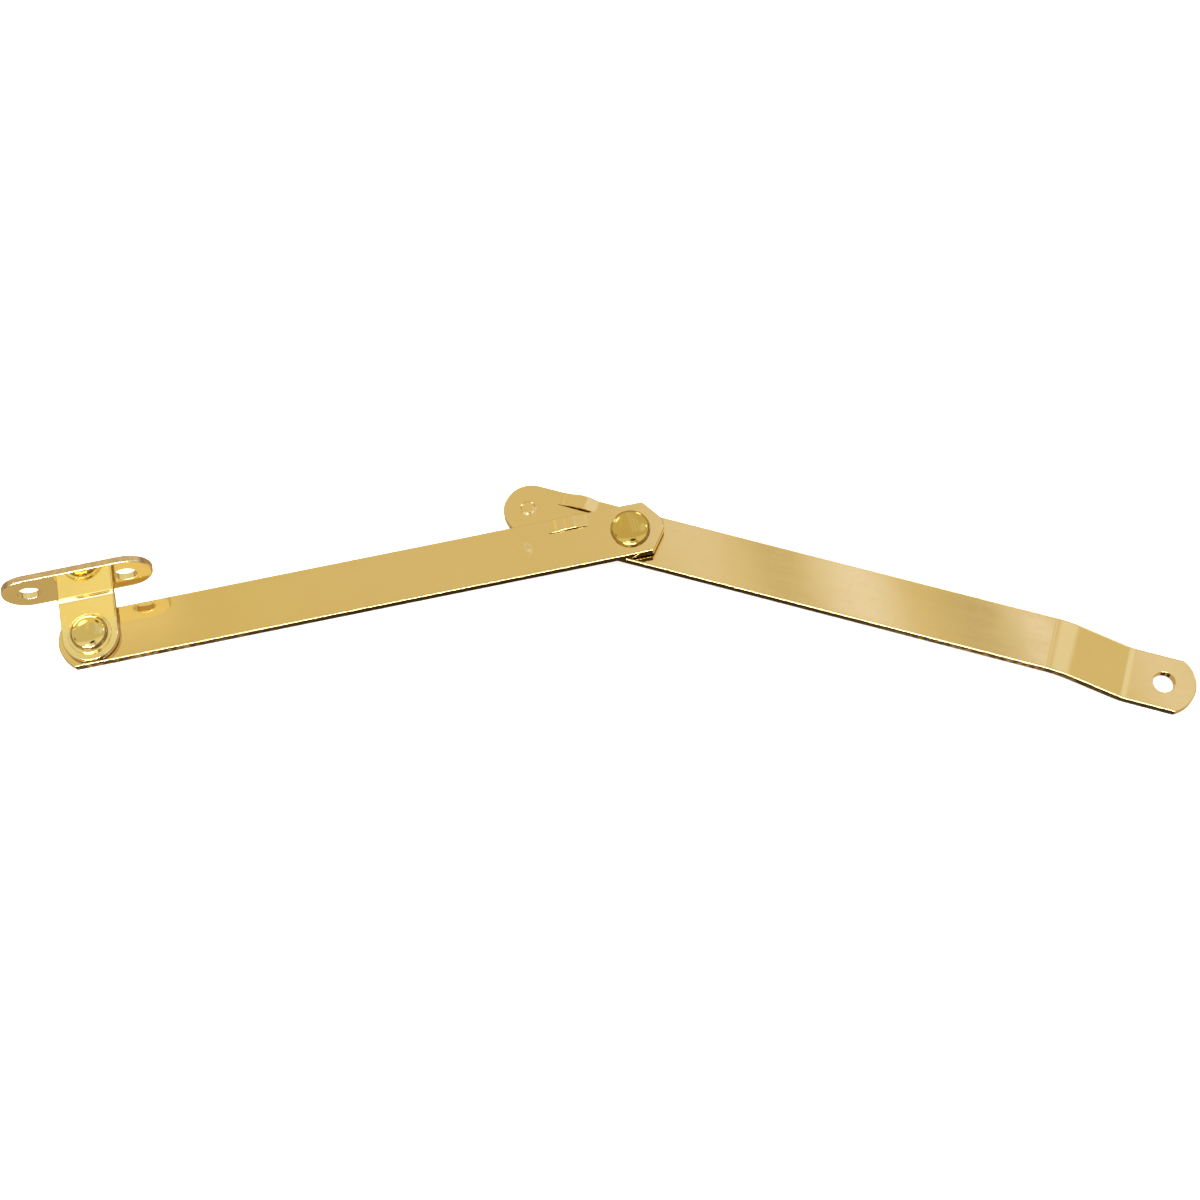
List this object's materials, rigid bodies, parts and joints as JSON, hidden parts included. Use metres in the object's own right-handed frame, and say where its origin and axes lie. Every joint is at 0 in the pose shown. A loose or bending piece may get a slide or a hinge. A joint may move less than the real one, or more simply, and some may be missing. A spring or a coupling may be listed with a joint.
{
  "type": "casement window stay",
  "caption": "Folding brass-plated casement window stay: a screw-on bracket, two flat arms on rivet pivots, a lanced stop and a screw-hole pad at the far end.",
  "frame": {"origin": "centre of the bracket's mounting face, between its two screw holes", "axes": "+Y is the outward normal of the bracket's mounting face; +X runs from the bracket along the front arm; +Z lies along both rivets, from the rear arm towards the rivets' button heads"},
  "size_m": [0.2631, 0.0868, 0.0257],
  "materials": {
    "bracket_brass": "polished plating",
    "arm_brass": "polished plating",
    "rivet_brass": "polished plating"
  },
  "bodies": {
    "bracket": {"bracket": "bracket_brass", "bracket_washer": "rivet_brass", "bracket_rivet": "rivet_brass"},
    "front_arm": {"front_arm": "arm_brass", "mid_rivet": "rivet_brass"},
    "rear_arm": {"rear_arm": "arm_brass"}
  },
  "joints": [
    {"name": "bracket_pivot", "type": "hinge", "parent": "bracket", "child": "front_arm", "pos_m": [0, -0.0112, -0.0095], "axis": [0, 0, 1], "range_deg": [-180, 0]},
    {"name": "middle_pivot", "type": "hinge", "parent": "front_arm", "child": "rear_arm", "pos_m": [0.127, -0.0112, -0.0115], "axis": [0, 0, 1], "range_deg": [-151.3, 28.7]}
  ]
}
